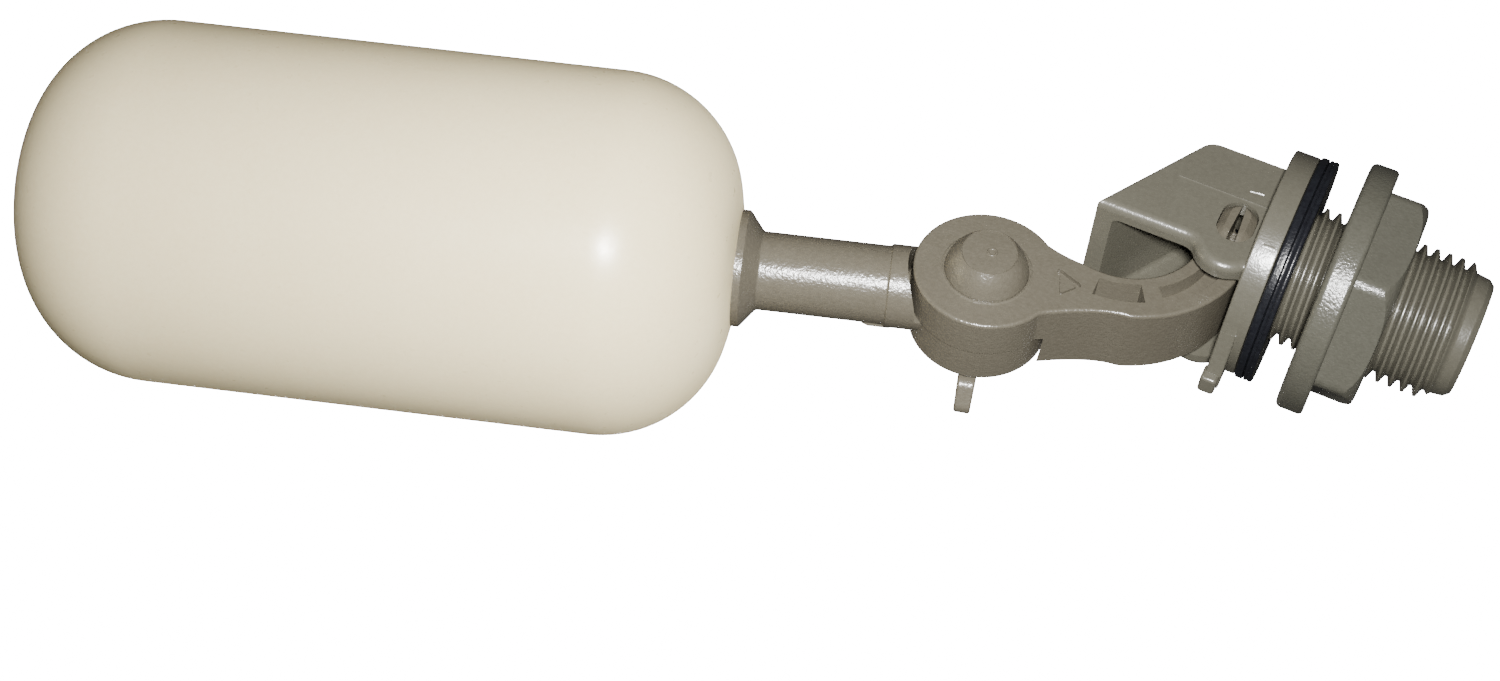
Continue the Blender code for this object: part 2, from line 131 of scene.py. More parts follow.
# Raised lines on each cheek: name, start, end, half width, rise
HOOD_RIDGES = (("seam", (-17.3, -0.52), (FLANGE_BACK, -0.6), 0.2, 0.13),
               ("tick", (-7.3, 1.39), (-5.3, 1.66), 0.14, 0.11))

# Pivot pin: half sizes of its hole and of its ends, along X and Z
PIN_HOLE = (2.65, 3.8)
PIN_END = (2.58, 3.73)
PIN_PROUD = 0.5
PIN_BEVEL = 1.1
PIN_SHAFT_RADIUS = 1.9
PIN_SLOT_REACH = 4.5

# Jam nut and gasket
NUT_START = NUT_LOW[0]
NUT_FLANGE_END = NUT_START + 4.1
NUT_END = NUT_HIGH[0]
NUT_FLANGE_RADIUS = NUT_HIGH[2]
NUT_CORNER_RADIUS = 17.0
NUT_HEX_TURN = 35.3
NUT_CORNER_ROUNDING = 1.4
NUT_CROWN = 3.4
NUT_BORE_RADIUS = 10.62
GASKET_BORE_RADIUS = 10.6

# Lever
LEVER_NEAR = LEVER_LOW[1]
LEVER_FAR = LEVER_HIGH[1]
DISC_RADIUS = 10.4
DISC_SPAN = (54, 338)
ARM_SEAT_RADIUS = 11.2
BEND = (-22.0, -6.7)
BAND_INNER = 11.15
BAND_INNER_SPAN = (10, -101)
BAND_OUTER = 18.25
BAND_OUTER_SPAN = (-69, -13.5)
# Corners that the curves from the disc to the band are drawn to
CHIN_CORNER = (-19.5, -24.0)
SHOULDER_CORNER = (-27.8, -17.6)
EDGE_ROUNDING = 1.5
# Three-sided pocket: its corners, the distance from its middle to its sides, its floor's
# depth, and the width and depth of the groove that runs round inside it
WEB_POCKET = ((-27.7, -20.1), (-25.8, -25.2), (-23.1, -21.7))
WEB_INNER_RADIUS = 1.3
WEB_DEPTH = 0.25
WEB_GROOVE = 0.45
WEB_GROOVE_DEPTH = 0.7
# Pockets along the band: inner radius, outer radius, start, end, depth
BAND_POCKETS = ((12.5, 15.7, -88.5, -61.0, 4.3), (13.2, 16.1, -51.0, -9.0, 2.4))
# How far a band pocket's inner wall leans outwards from its mouth to its floor
POCKET_LEAN = 0.3
# Corners of the deep notch at the first pocket's end: radius and angle about the bend
NOTCH = ((12.9, -61.0), (15.7, -65.2), (15.7, -60.9))
NOTCH_DEPTH = 5.0
SEAT_DRAFT = 0.3
CLOSING_ANGLE = 17.0
HUB_RADIUS = 3.06
HUB_SPAN = (0, 92)
PIVOT_HOLE_RADIUS = 2.15
# Seal head and pad, placed as they stand with the valve closed
HEAD_FRONT = -6.3
HEAD_BACK = -10.2
HEAD_TOP = 4.6
PAD_CENTRE_Z = 0.4
PAD_RADIUS = 2.7
PAD_FRONT = -5.1
PAD_THICKNESS = 2.5

# Joint bolt and wing nut
BOLT_RADIUS = 2.5
BOLT_HEAD_RADIUS = 6.05
BOLT_TOP_RADIUS = 4.05
BOLT_BULGE = 0.32
BOLT_SLOPE_STEPS = 12
GATE_MARK = (0.35, 0.1)
BOLT_TOP = BOLT_LOW[1]
BOLT_TIP = BOLT_HIGH[1]
WING_HUB_END = 12.8
WING_ROOT = 3.6
WING_REACH = 12.6
WING_THICKNESS = 2.9
WING_THINNING = 0.25
WING_ANGLE = 15.0

# Float arm, drawn along -X from the joint before it is turned down
ARM_DROP = 19.1
STEM_DISC_RADIUS = 10.1
STEM_DISC_FAR = 6.6
STEM_SEAT_RADIUS = 11.1
STEM_START = 7.0
STEM_RADIUS = 5.73
COLLAR_RADIUS = 6.05
COLLAR_END = 13.5
STEP_TURN = 60.0
STEP_HALF_WIDTH = 1.7
FLARE_START = 31.9
FLARE_RADIUS = 8.5
FLOAT_START = 34.7
FLOAT_LENGTH = 104.1
FLOAT_RADIUS = FLOAT_HIGH[1]
FLOAT_CORNER = 18.5
FLOAT_CAP = 53.0
CAP_STEPS = 8
CORNER_STEPS = 20
BARREL_STEPS = 14

COLLECTION = bpy.context.scene.collection


# ---------------------------------------------------------------- outlines

def on_circle(centre, radius, degrees):
    """The point of a circle in the XZ plane at an angle from +X towards +Z."""
    turn = math.radians(degrees)
    return (centre[0] + radius * math.cos(turn), centre[1] + radius * math.sin(turn))


def arc(centre, radius, start, end, steps):
    """Points along a circle from one angle to another, both included."""
    turns = [start + (end - start) * step / steps for step in range(steps + 1)]
    return [on_circle(centre, radius, turn) for turn in turns]


def bend_curve(start, corner, end, steps):
    """The inner points of a quadratic curve from start to end, drawn to a corner."""
    points = []
    for step in range(1, steps):
        t = step / steps
        weights = ((1 - t) ** 2, 2 * t * (1 - t), t * t)
        points.append(tuple(sum(w * p[axis] for w, p in zip(weights, (start, corner, end)))
                            for axis in (0, 1)))
    return points


def opened(point):
    """A point given with the valve closed, turned back to the open rest pose."""
    turn = math.radians(CLOSING_ANGLE)
    dx, dz = point[0] - PIVOT[0], point[1] - PIVOT[1]
    return (PIVOT[0] + dx * math.cos(turn) - dz * math.sin(turn),
            PIVOT[1] + dx * math.sin(turn) + dz * math.cos(turn))


def rounded(points, radius, steps=5):
    """A closed outline with each corner replaced by an arc-like curve."""
    result = []
    count = len(points)
    for i, point in enumerate(points):
        here = Vector(point)
        before = Vector(points[i - 1]) - here
        after = Vector(points[(i + 1) % count]) - here
        reach = min(radius, before.length * 0.45, after.length * 0.45)
        start = here + before.normalized() * reach
        end = here + after.normalized() * reach
        result.append(tuple(start))
        result += bend_curve(start, here, end, steps)
        result.append(tuple(end))
    return result


# ---------------------------------------------------------------- solids

def finish_mesh(name, shape):
    """An object from a shape drawn in millimetres."""
    bmesh.ops.recalc_face_normals(shape, faces=shape.faces)
    bmesh.ops.scale(shape, vec=(MM, MM, MM), verts=shape.verts)
    mesh = bpy.data.meshes.new(name)
    shape.to_mesh(mesh)
    shape.free()
    made = bpy.data.objects.new(name, mesh)
    COLLECTION.objects.link(made)
    return made


def close_rings(shape, near, far):
    """A closed solid from two rings of vertices: a face over each and sides between them."""
    shape.faces.new(near)
    shape.faces.new(reversed(far))
    count = len(near)
    for i in range(count):
        j = (i + 1) % count
        shape.faces.new((near[j], near[i], far[i], far[j]))


def prism_mesh(outline, low, high, end=None):
    """A solid between two heights along Y, with another outline at its end if one is given."""
    shape = bmesh.new()
    rings = [[shape.verts.new((x, y, z)) for x, z in ring]
             for ring, y in ((outline, low), (end or outline, high))]
    close_rings(shape, *rings)
    return shape


def turned_mesh(profile, segments):
    """A closed profile of (x, radius) points, turned about the X axis."""
    shape = bmesh.new()
    rings = []
    for x, radius in profile:
        if radius == 0:
            rings.append([shape.verts.new((x, 0, 0))] * segments)
            continue
        turns = [2 * math.pi * k / segments for k in range(segments)]
        rings.append([shape.verts.new((x, radius * math.cos(t), radius * math.sin(t)))
                      for t in turns])
    for near, far in zip(rings, rings[1:] + rings[:1]):
        for k in range(segments):
            m = (k + 1) % segments
            corners = list(dict.fromkeys((near[k], near[m], far[m], far[k])))
            if len(corners) > 2:
                shape.faces.new(corners)
    return shape


def prism(name, outline, low, high, end=None):
    return finish_mesh(name, prism_mesh(outline, low, high, end))


def turned(name, profile, segments=96):
    return finish_mesh(name, turned_mesh(profile, segments))


def along_y(name, centre, profile, segments=96):
    """A closed profile of (y, radius) points, turned about a line along Y."""
    shape = turned_mesh(profile, segments)
    swing = Matrix.Rotation(math.radians(90), 4, "Z")
    bmesh.ops.transform(shape, matrix=swing, verts=shape.verts)
    bmesh.ops.translate(shape, vec=(centre[0], 0, centre[1]), verts=shape.verts)
    return finish_mesh(name, shape)


def rod_y(name, centre, radius, low, high, segments=96):
    """A plain cylinder along Y."""
    return along_y(name, centre, [(low, 0), (low, radius), (high, radius), (high, 0)], segments)


def combine(target, other, operation):
    """A boolean step, kept as a modifier until the target is settled."""
    step = target.modifiers.new(operation, "BOOLEAN")
    step.operation = operation
    step.solver = "EXACT"
    step.object = other


def cut(target, *cutters):
    for cutter in cutters:
        combine(target, cutter, "DIFFERENCE")


def join(target, *others):
    for other in others:
        combine(target, other, "UNION")


def round_edges(target, width, segments=4, angle=40):
    step = target.modifiers.new("Rounded edges", "BEVEL")
    step.width = width * MM
    step.segments = segments
    step.limit_method = "ANGLE"
    step.angle_limit = math.radians(angle)


def settle(target):
    """Apply the modifiers and remove the guides that they used."""
    guides = {step.object for step in target.modifiers if step.type == "BOOLEAN"}
    for guide in list(guides):
        guides |= {step.object for step in guide.modifiers if step.type == "BOOLEAN"}
    graph = bpy.context.evaluated_depsgraph_get()
    mesh = bpy.data.meshes.new_from_object(target.evaluated_get(graph))
    target.modifiers.clear()
    target.data = mesh
    for guide in guides:
        bpy.data.objects.remove(guide, do_unlink=True)
    return target


def shade(target, angle=38):
    """Smooth shading that keeps flat faces flat and real corners sharp."""
    settle(target)
    target.data.shade_smooth()
    target.data.set_sharp_from_angle(angle=math.radians(angle))
    step = target.modifiers.new("Even shading", "WEIGHTED_NORMAL")
    step.keep_sharp = True
    return settle(target)


# ---------------------------------------------------------------- materials

def node(tree, kind, **values):
    """A new shader node, with values for its inputs or its own settings."""
    made = tree.nodes.new(kind)
    for name, value in values.items():
        if name in made.inputs:
            made.inputs[name].default_value = value
        else:
            setattr(made, name, value)
    return made


# Scales of the surface's unevenness, per metre
FLECK_SCALE = 90.0
SPECK_SCALE = 1500.0
GLOSS_SCALE = 700.0
FLECK_WEIGHT = 0.4
FLECK_RANGE = (0.45, 0.95)
GLOSS_RANGE = 0.07
PLASTIC_IOR = 1.49
# Relative reach of red, green and blue light below the surface
SUBSURFACE_RADIUS = (0.004, 0.003, 0.002)


def noise_layer(tree, place, scale, detail=3.0, rough=0.55):
    layer = node(tree, "ShaderNodeTexNoise", Scale=scale, Detail=detail, Roughness=rough)
    tree.links.new(place, layer.inputs["Vector"])
    return layer.outputs["Fac"]


def moulded(name, light, dark, roughness, grain, grain_scale, specular=0.5, subsurface=0.0):
    """Moulded plastic or rubber: faint flecks, fine moulding grain and uneven gloss."""
    made = bpy.data.materials.new(name)
    made.use_nodes = True
    tree = made.node_tree
    shader = tree.nodes["Principled BSDF"]
    place = node(tree, "ShaderNodeTexCoord").outputs["Object"]
    spread = node(tree, "ShaderNodeMath", operation="MULTIPLY_ADD")
    tree.links.new(noise_layer(tree, place, FLECK_SCALE, 2.0), spread.inputs[0])
    spread.inputs[1].default_value = FLECK_WEIGHT
    tree.links.new(noise_layer(tree, place, SPECK_SCALE, 3.0, 0.6), spread.inputs[2])
    ramp = node(tree, "ShaderNodeValToRGB")
    ramp.color_ramp.elements[0].position = FLECK_RANGE[0]
    ramp.color_ramp.elements[0].color = (*dark, 1)
    ramp.color_ramp.elements[1].position = FLECK_RANGE[1]
    ramp.color_ramp.elements[1].color = (*light, 1)
    tree.links.new(spread.outputs[0], ramp.inputs["Fac"])
    tree.links.new(ramp.outputs["Color"], shader.inputs["Base Color"])
    gloss = node(tree, "ShaderNodeMapRange")
    gloss.inputs["To Min"].default_value = roughness - GLOSS_RANGE
    gloss.inputs["To Max"].default_value = roughness + GLOSS_RANGE
    tree.links.new(noise_layer(tree, place, GLOSS_SCALE, 3.0), gloss.inputs["Value"])
    tree.links.new(gloss.outputs["Result"], shader.inputs["Roughness"])
    fine = node(tree, "ShaderNodeBump", Strength=1.0, Distance=grain * MM)
    tree.links.new(noise_layer(tree, place, grain_scale, 2.0, 0.5), fine.inputs["Height"])
    tree.links.new(fine.outputs["Normal"], shader.inputs["Normal"])
    shader.inputs["IOR"].default_value = PLASTIC_IOR
    shader.inputs["Specular IOR Level"].default_value = specular
    shader.inputs["Subsurface Weight"].default_value = subsurface
    shader.inputs["Subsurface Radius"].default_value = SUBSURFACE_RADIUS
    return made


# ---------------------------------------------------------------- valve body

def hood_outline():
    """Side view of the hood: roof, sloping front, rim and the lobe below the pivot."""
    drop = math.degrees(math.asin((LOBE[1] - HOOD_RIM_Z) / LOBE_RADIUS))
    meet = on_circle(LOBE, LOBE_RADIUS, 180 + drop)
    lobe = arc(LOBE, LOBE_RADIUS, 180 + drop + LOBE_FILLET * LOBE_FILLET_TURN, LOBE_END, 14)
    beside = (meet[0] - LOBE_FILLET, HOOD_RIM_Z)
    fillet = [beside, *bend_curve(beside, meet, lobe[0], 8)]
    slope = math.degrees(math.atan2(HOOD_TOP - HOOD_RIM_Z, HOOD_SHOULDER_X - HOOD_TOE_X))
    setback = SHOULDER_RADIUS * math.tan(math.radians(slope / 2))
    centre = (HOOD_SHOULDER_X + setback, HOOD_TOP - SHOULDER_RADIUS)
    shoulder = arc(centre, SHOULDER_RADIUS, 90, 90 + slope, 10)
    into_flange = FLANGE_BACK / 2
    return [(into_flange, HOOD_TOP), *shoulder, (HOOD_TOE_X, HOOD_RIM_Z),
            *fillet, *lobe, (into_flange, lobe[-1][1])]


def hood_cavity():
    """Side view of the room inside the hood, open below and towards the flange."""
    slope = Vector((HOOD_TOE_X - HOOD_SHOULDER_X, HOOD_RIM_Z - HOOD_TOP)).normalized()
    inset = FRONT_WALL / abs(slope.x)
    rise = slope.y / slope.x
    ceiling = HOOD_TOP - ROOF_WALL
    shoulder = HOOD_SHOULDER_X + (ceiling - (HOOD_TOP - inset)) / rise
    floor = LOBE[1] - LOBE_RADIUS - 2
    toe = HOOD_SHOULDER_X + (floor - (HOOD_TOP - inset)) / rise
    return [(FLANGE_BACK, ceiling), (shoulder, ceiling), (toe, floor), (FLANGE_BACK, floor)]


def stadium(half_x, half_z, steps=14):
    """Upright outline about the pivot with straight sides and round ends."""
    rise = half_z - half_x
    top = arc((PIVOT[0], PIVOT[1] + rise), half_x, 0, 180, steps)
    bottom = arc((PIVOT[0], PIVOT[1] - rise), half_x, 180, 360, steps)
    return top + bottom


def ridge(name, start, end, half, base, crest):
    """A low line with sloping sides, drawn in XZ and standing from base to crest along Y."""
    sunk = base - (crest - base)
    shape = bmesh.new()
    along = (Vector(end) - Vector(start)).normalized()
    side = Vector((-along.y, along.x)) * half
    rings = [[shape.verts.new((point[0] + sign * side.x, y, point[1] + sign * side.y))
              for sign, y in ((-1, sunk), (-1, base), (0, crest), (1, base), (1, sunk))]
             for point in (start, end)]
    close_rings(shape, *rings)
    return finish_mesh(name, shape)


def make_hood_shell():
    """The hood's block with a wide rounding below, hollowed out with soft inner corners."""
    shape = prism_mesh(hood_outline(), -HOOD_HALF_WIDTH, HOOD_HALF_WIDTH)
    weights = shape.edges.layers.float.new("bevel_weight_edge")
    for edge in shape.edges:
        one, other = edge.verts
        across = abs(one.co.y - other.co.y) > 1
        low = max(one.co.z, other.co.z) <= HOOD_RIM_Z + 0.01
        at_toe = abs(one.co.x - HOOD_TOE_X) < 0.01
        if across:
            edge[weights] = TOE_ROUNDING / RIM_ROUNDING if at_toe else 0.0
        else:
            edge[weights] = 1.0 if low else ROOF_ROUNDING / RIM_ROUNDING
    hood = finish_mesh("hood", shape)
    step = hood.modifiers.new("Rounded edges", "BEVEL")
    step.width = RIM_ROUNDING * MM
    step.segments = 6
    step.limit_method = "WEIGHT"
    inner = HOOD_HALF_WIDTH - HOOD_WALL
    hollow = prism("hollow", hood_cavity(), -inner, inner)
    round_edges(hollow, HOLLOW_ROUNDING, 5)
    cut(hood, hollow)
    holes = prism("pin_holes", stadium(*PIN_HOLE), -HOOD_HALF_WIDTH - 2, HOOD_HALF_WIDTH + 2)
    cut(hood, holes)
    for side in (-1, 1):
        for name, start, end, half, rise in HOOD_RIDGES:
            join(hood, ridge(f"{name}_{side}", start, end, half, side * HOOD_HALF_WIDTH,
                             side * (HOOD_HALF_WIDTH + rise)))
    return hood


def swap_x_and_y(item):
    """Turn a prism, drawn in (y, z) and extruded along Y, to lie along X."""
    item.data.transform(Matrix(((0, 1, 0, 0), (1, 0, 0, 0), (0, 0, 1, 0), (0, 0, 0, 1))))
    item.data.flip_normals()
    return item


def tab_layer_outline():
    """The flange's inner layer in (y, z): a circle that runs straight into the tab."""
    near = (TAB_Y[0] - 0.2, TAB_ROOT)
    far = (TAB_Y[1], TAB_ROOT)
    reach = math.hypot(*near)
    lean = math.degrees(math.acos(FLANGE_RADIUS / reach))
    tangent = math.degrees(math.atan2(near[1], near[0])) - lean
    leave = -math.degrees(math.acos(far[0] / FLANGE_RADIUS))
    return arc((0, 0), FLANGE_RADIUS, leave, tangent + 360, 110) + [near, far]


def make_hood():
    """The nozzle and the flange, with its layer, tab and marks, and the hood behind them."""
    rim = FLANGE_RIM_ROUNDING
    core, skin = FLANGE_RADIUS - 2, FLANGE_RADIUS - 0.02
    overlap = FLANGE_STEP - 0.4
    profile = [(NOZZLE_TIP, ORIFICE_RADIUS), (NOZZLE_TIP, NOZZLE_RADIUS),
               (NOZZLE_TIP + 0.2, NOZZLE_RADIUS + 0.2), (FLANGE_BACK, NOZZLE_FOOT_RADIUS),
               (FLANGE_BACK, core), (overlap, core), (overlap, skin), (-rim, skin),
               (-rim * 0.3, FLANGE_RADIUS - rim * 0.3), (0, FLANGE_RADIUS - rim),
               (0, BORE_RADIUS), (BORE_FLOOR, BORE_RADIUS), (BORE_FLOOR, ORIFICE_RADIUS)]
    body = turned("hood_and_flange", profile, 128)
    layer = swap_x_and_y(prism("tab_layer", tab_layer_outline(), FLANGE_BACK, FLANGE_STEP))
    round_edges(layer, 0.3, 3)
    room = [(FLANGE_BACK - 1, 0), (FLANGE_BACK - 1, NOZZLE_ROOM_RADIUS),
            (FLANGE_STEP + 1, NOZZLE_ROOM_RADIUS), (FLANGE_STEP + 1, 0)]
    cut(layer, turned("nozzle_room", room, 64))
    back, front, root = FLANGE_BACK - 0.35, FLANGE_STEP - 0.25, TAB_ROOT + 1.6
    tab = prism("tab", [(back, root), (back, TAB_BOTTOM), (front, TAB_BOTTOM), (front, root)],
                TAB_Y[0] - 0.1, TAB_Y[1] + 0.2)
    round_edges(tab, 0.55, 4)
    join(body, layer, tab, make_hood_shell())
    for index, (degrees, low, high, half, rise) in enumerate(RIM_MARKS):
        mark = ridge(f"rim_mark_{index}", (low, 0), (high, 0), half, FLANGE_RADIUS,
                     FLANGE_RADIUS + rise)
        mark.data.transform(Matrix.Rotation(math.radians(degrees), 4, "X"))
        join(body, mark)
    return shade(body)


def thread_rise(x):
    """How much of the thread's full height stands at x, which runs out at both ends."""
    start = min(max((x - THREAD_START) / THREAD_PITCH, 0.0), 1.0)
    end = min(max((THREAD_END - x) / (THREAD_PITCH * 0.6), 0.0), 1.0)
    return (CREST_RADIUS - ROOT_RADIUS) * start * end


def tail_radius(x):
    """The tail's body, which narrows a little beyond the thread."""
    return ROOT_RADIUS - TIP_TAPER * max(x - THREAD_END, 0.0)


def tail_ring(shape, x, radius):
    """A ring of vertices about the X axis, one for each of the tail's columns."""
    spins = [2 * math.pi * column / TAIL_COLUMNS for column in range(TAIL_COLUMNS)]
    return [shape.verts.new((x, radius * math.cos(s), radius * math.sin(s))) for s in spins]


def thread_rows(shape, low, first, high, last):
    """Rows of vertices along the helix, which become the end rings beyond low and high."""
    turns = int((high - low) / THREAD_PITCH) + THREAD_SPARE_TURNS
    rows = []
    for place, height in [(turn + part, rise) for turn in range(turns)
                          for part, rise in THREAD_PROFILE]:
        row = []
        for column in range(TAIL_COLUMNS):
            spin = column / TAIL_COLUMNS
            x = THREAD_PHASE + (place - THREAD_LEAD_IN + spin) * THREAD_PITCH
            radius = tail_radius(x) + height * thread_rise(x)
            angle = 2 * math.pi * spin
            if x <= low:
                row.append(first[column])
            elif x >= high:
                row.append(last[column])
            else:
                row.append(shape.verts.new((x, radius * math.cos(angle),
                                            radius * math.sin(angle))))
        rows.append(row)
    return rows


def join_thread_rows(shape, rows):
    """Faces between neighbouring rows, where each turn's last column meets the next turn."""
    for row in range(len(rows) - 1):
        for column in range(TAIL_COLUMNS):
            seam = column == TAIL_COLUMNS - 1
            after = (row + len(THREAD_PROFILE)) if seam else row
            if after + 1 >= len(rows):
                continue
            m = 0 if seam else column + 1
            corners = (rows[row][column], rows[after][m], rows[after + 1][m],
                       rows[row + 1][column])
            corners = list(dict.fromkeys(corners))
            if len(corners) > 2:
                shape.faces.new(corners)


def make_tail():
    """The tail's helical thread, its plain tip and its bore, as one closed tube."""
    low, high = TAIL_START, TAIL_END - TIP_LENGTH
    end = tail_radius(high)
    shape = bmesh.new()
    first, last = tail_ring(shape, low, ROOT_RADIUS), tail_ring(shape, high, end)
    join_thread_rows(shape, thread_rows(shape, low, first, high, last))
    tip = [(TAIL_END - 0.95, end), (TAIL_END - 0.8, end - 0.05), (TAIL_END - 0.15, end - 0.6),
           (TAIL_END - 0.04, end - 0.7), (TAIL_END, end - 0.85), (TAIL_END, BORE_RADIUS + 0.35),
           (TAIL_END - 0.35, BORE_RADIUS), (0.2, BORE_RADIUS), (low, BORE_RADIUS + 0.3)]
    rings = [last] + [tail_ring(shape, x, radius) for x, radius in tip] + [first]
    for near, far in zip(rings, rings[1:]):
        for column in range(TAIL_COLUMNS):
            m = (column + 1) % TAIL_COLUMNS
            shape.faces.new((near[column], near[m], far[m], far[column]))
    return shade(finish_mesh("threaded_tail", shape), 50)


def make_gasket():
    """Flat rubber ring with two fine lines round its edge."""
    near, far = 0.02, GASKET_HIGH[0]
    radius, hole = GASKET_HIGH[2], GASKET_BORE_RADIUS
    middle = (near + far) / 2
    lines = ((middle - 0.05, 0.35), (middle + 0.55, 0.12))
    profile = [(near, hole), (near, radius - 0.35), (near + 0.1, radius - 0.1),
               (near + 0.35, radius)]
    for place, depth in lines:
        profile += [(place - 0.14, radius), (place - 0.08, radius - 0.6 * depth),
                    (place, radius - depth), (place + 0.08, radius - 0.6 * depth),
                    (place + 0.14, radius)]
    profile += [(far - 0.35, radius), (far - 0.1, radius - 0.1), (far, radius - 0.35), (far, hole)]
    return shade(turned("rubber_gasket", profile, 144), 60)


def make_nut():
    """Flanged hexagon nut with a domed crown."""
    lip, rim = 0.9, 0.7
    profile = [(NUT_START, 0), (NUT_START, NUT_FLANGE_RADIUS - lip)]
    profile += arc((NUT_START + lip, NUT_FLANGE_RADIUS - lip), lip, 180, 90, 5)
    profile += arc((NUT_FLANGE_END - rim, NUT_FLANGE_RADIUS - rim), rim, 90, 0, 5)
    profile.append((NUT_FLANGE_END, 0))
    nut = turned("flanged_nut", profile, 144)
    corners = [on_circle((0, 0), NUT_CORNER_RADIUS, 180 + NUT_HEX_TURN + 60 * k)
               for k in range(6)]
    outline = rounded(corners, NUT_CORNER_ROUNDING, 5)
    hexagon = swap_x_and_y(prism("hexagon", outline, NUT_FLANGE_END - 1, NUT_END))
    crown = NUT_CORNER_RADIUS - NUT_CROWN
    shoulder = arc((NUT_END - NUT_CROWN, crown), NUT_CROWN, 90, 8, 9)
    dome = [(NUT_FLANGE_END - 2, 0), (NUT_FLANGE_END - 2, NUT_CORNER_RADIUS + 0.5),
            (NUT_END - NUT_CROWN - 0.5, NUT_CORNER_RADIUS + 0.05), *shoulder,
            (NUT_END + 0.01, crown - 0.4), (NUT_END + 0.01, 0)]
    combine(hexagon, turned("crown", dome, 144), "INTERSECT")
    round_edges(hexagon, 0.5, 3, 50)
    join(nut, hexagon)
    bore = [(NUT_START - 1, 0), (NUT_START - 1, NUT_BORE_RADIUS + 1.4),
            (NUT_START + 0.4, NUT_BORE_RADIUS), (NUT_END - 0.6, NUT_BORE_RADIUS),
            (NUT_END + 0.4, NUT_BORE_RADIUS + 1.0), (NUT_END + 0.4, 0)]
    cut(nut, turned("bore", bore, 108))
    return shade(nut)


def make_pin():
    """Split pin: a shaft under the hood with two bevelled prongs in each cheek."""
    reach = HOOD_HALF_WIDTH + PIN_PROUD
    start = HOOD_HALF_WIDTH - HOOD_WALL + 0.3
    pin = rod_y("split_pin", PIVOT, PIN_SHAFT_RADIUS, -start - 0.5, start + 0.5, 48)
    foot, top = PIVOT[1] - PIN_SLOT_REACH, PIVOT[1] + PIN_SLOT_REACH
    slot = [(PIVOT[0] - 0.60, foot), (PIVOT[0] + 0.85, foot),
            (PIVOT[0] + 0.22, top), (PIVOT[0] - 0.22, top)]
    for side in (-1, 1):
        low, high = sorted((side * start, side * reach))
        end = prism(f"end_{side}", stadium(*PIN_END), low, high)
        round_edges(end, PIN_BEVEL, 1)
        round_edges(end, 0.12, 2, 30)
        join(pin, end)
        low, high = sorted((side * (reach + 2), side * (reach - 5)))
        cut(pin, prism(f"slot_{side}", slot, low, high))
    return shade(pin)


# ---------------------------------------------------------------- lever and joint

def lever_outline():
    """Side view of the lever: joint disc, curved band, pivot hub and seal head."""
    shoulder = on_circle(JOINT, DISC_RADIUS, DISC_SPAN[0])
    chin = on_circle(JOINT, DISC_RADIUS, DISC_SPAN[1] - 360)
    disc = arc(JOINT, DISC_RADIUS, *DISC_SPAN, 90)
    belly = on_circle(BEND, BAND_OUTER, BAND_OUTER_SPAN[0])
    outer = arc(BEND, BAND_OUTER, *BAND_OUTER_SPAN, 24)
    hub = arc(PIVOT, HUB_RADIUS, *HUB_SPAN, 10)
    head = [opened((HEAD_FRONT, HEAD_TOP)), opened((HEAD_BACK, HEAD_TOP))]
    inner = arc(BEND, BAND_INNER, *BAND_INNER_SPAN, 44)
    lower = bend_curve(chin, CHIN_CORNER, belly, 14)
    upper = bend_curve(inner[-1], SHOULDER_CORNER, shoulder, 10)
    return disc + lower + outer + hub + head + inner + upper


def band_pocket(inner, outer, start, end):
    """A pocket's outline between two radii about the bend."""
    return arc(BEND, inner, start, end, 16) + arc(BEND, outer, end, start, 16)


def make_lever():
    """The lever's plate, with pockets in both sides and a round seat for the float's arm."""
    lever = prism("curved_lever", lever_outline(), LEVER_NEAR, LEVER_FAR)
    round_edges(lever, EDGE_ROUNDING, 6, 60)
    middle = [sum(point[axis] for point in WEB_POCKET) / 3 for axis in (0, 1)]
    inner = [[m + (p - m) * (1 - WEB_GROOVE / WEB_INNER_RADIUS) for p, m in zip(point, middle)]
             for point in WEB_POCKET]
    web = rounded(WEB_POCKET, 0.9)
    notch = rounded([on_circle(BEND, radius, turn) for radius, turn in NOTCH], 0.15)
    pockets = [(web, web, WEB_DEPTH), (notch, notch, NOTCH_DEPTH)]
    for inner_radius, outer_radius, start, end, depth in BAND_POCKETS:
        pockets.append((band_pocket(inner_radius, outer_radius, start, end),
                        band_pocket(inner_radius + POCKET_LEAN, outer_radius, start, end), depth))
    for index, (mouth, base, depth) in enumerate(pockets):
        cut(lever, prism(f"near_{index}", mouth, LEVER_NEAR - 0.05, LEVER_NEAR + depth, base))
        cut(lever, prism(f"far_{index}", base, LEVER_FAR - depth, LEVER_FAR + 0.05, mouth))
    near, far = LEVER_NEAR - 2, LEVER_FAR + 2
    for side, low, high in (("near", near, LEVER_NEAR + WEB_GROOVE_DEPTH),
                            ("far", LEVER_FAR - WEB_GROOVE_DEPTH, far)):
        groove = prism(f"{side}_web_groove", web, low, high)
        cut(groove, prism(f"{side}_web_plug", rounded(inner, 0.5), low - 1, high + 1))
        cut(lever, groove)
    seat = [(-0.05, 0), (-0.05, ARM_SEAT_RADIUS), (far, ARM_SEAT_RADIUS - SEAT_DRAFT), (far, 0)]
    cut(lever, along_y("arm_seat", JOINT, seat, 128))
    cut(lever, rod_y("pivot_hole", PIVOT, PIVOT_HOLE_RADIUS, near, far, 48))
    return shade(lever)


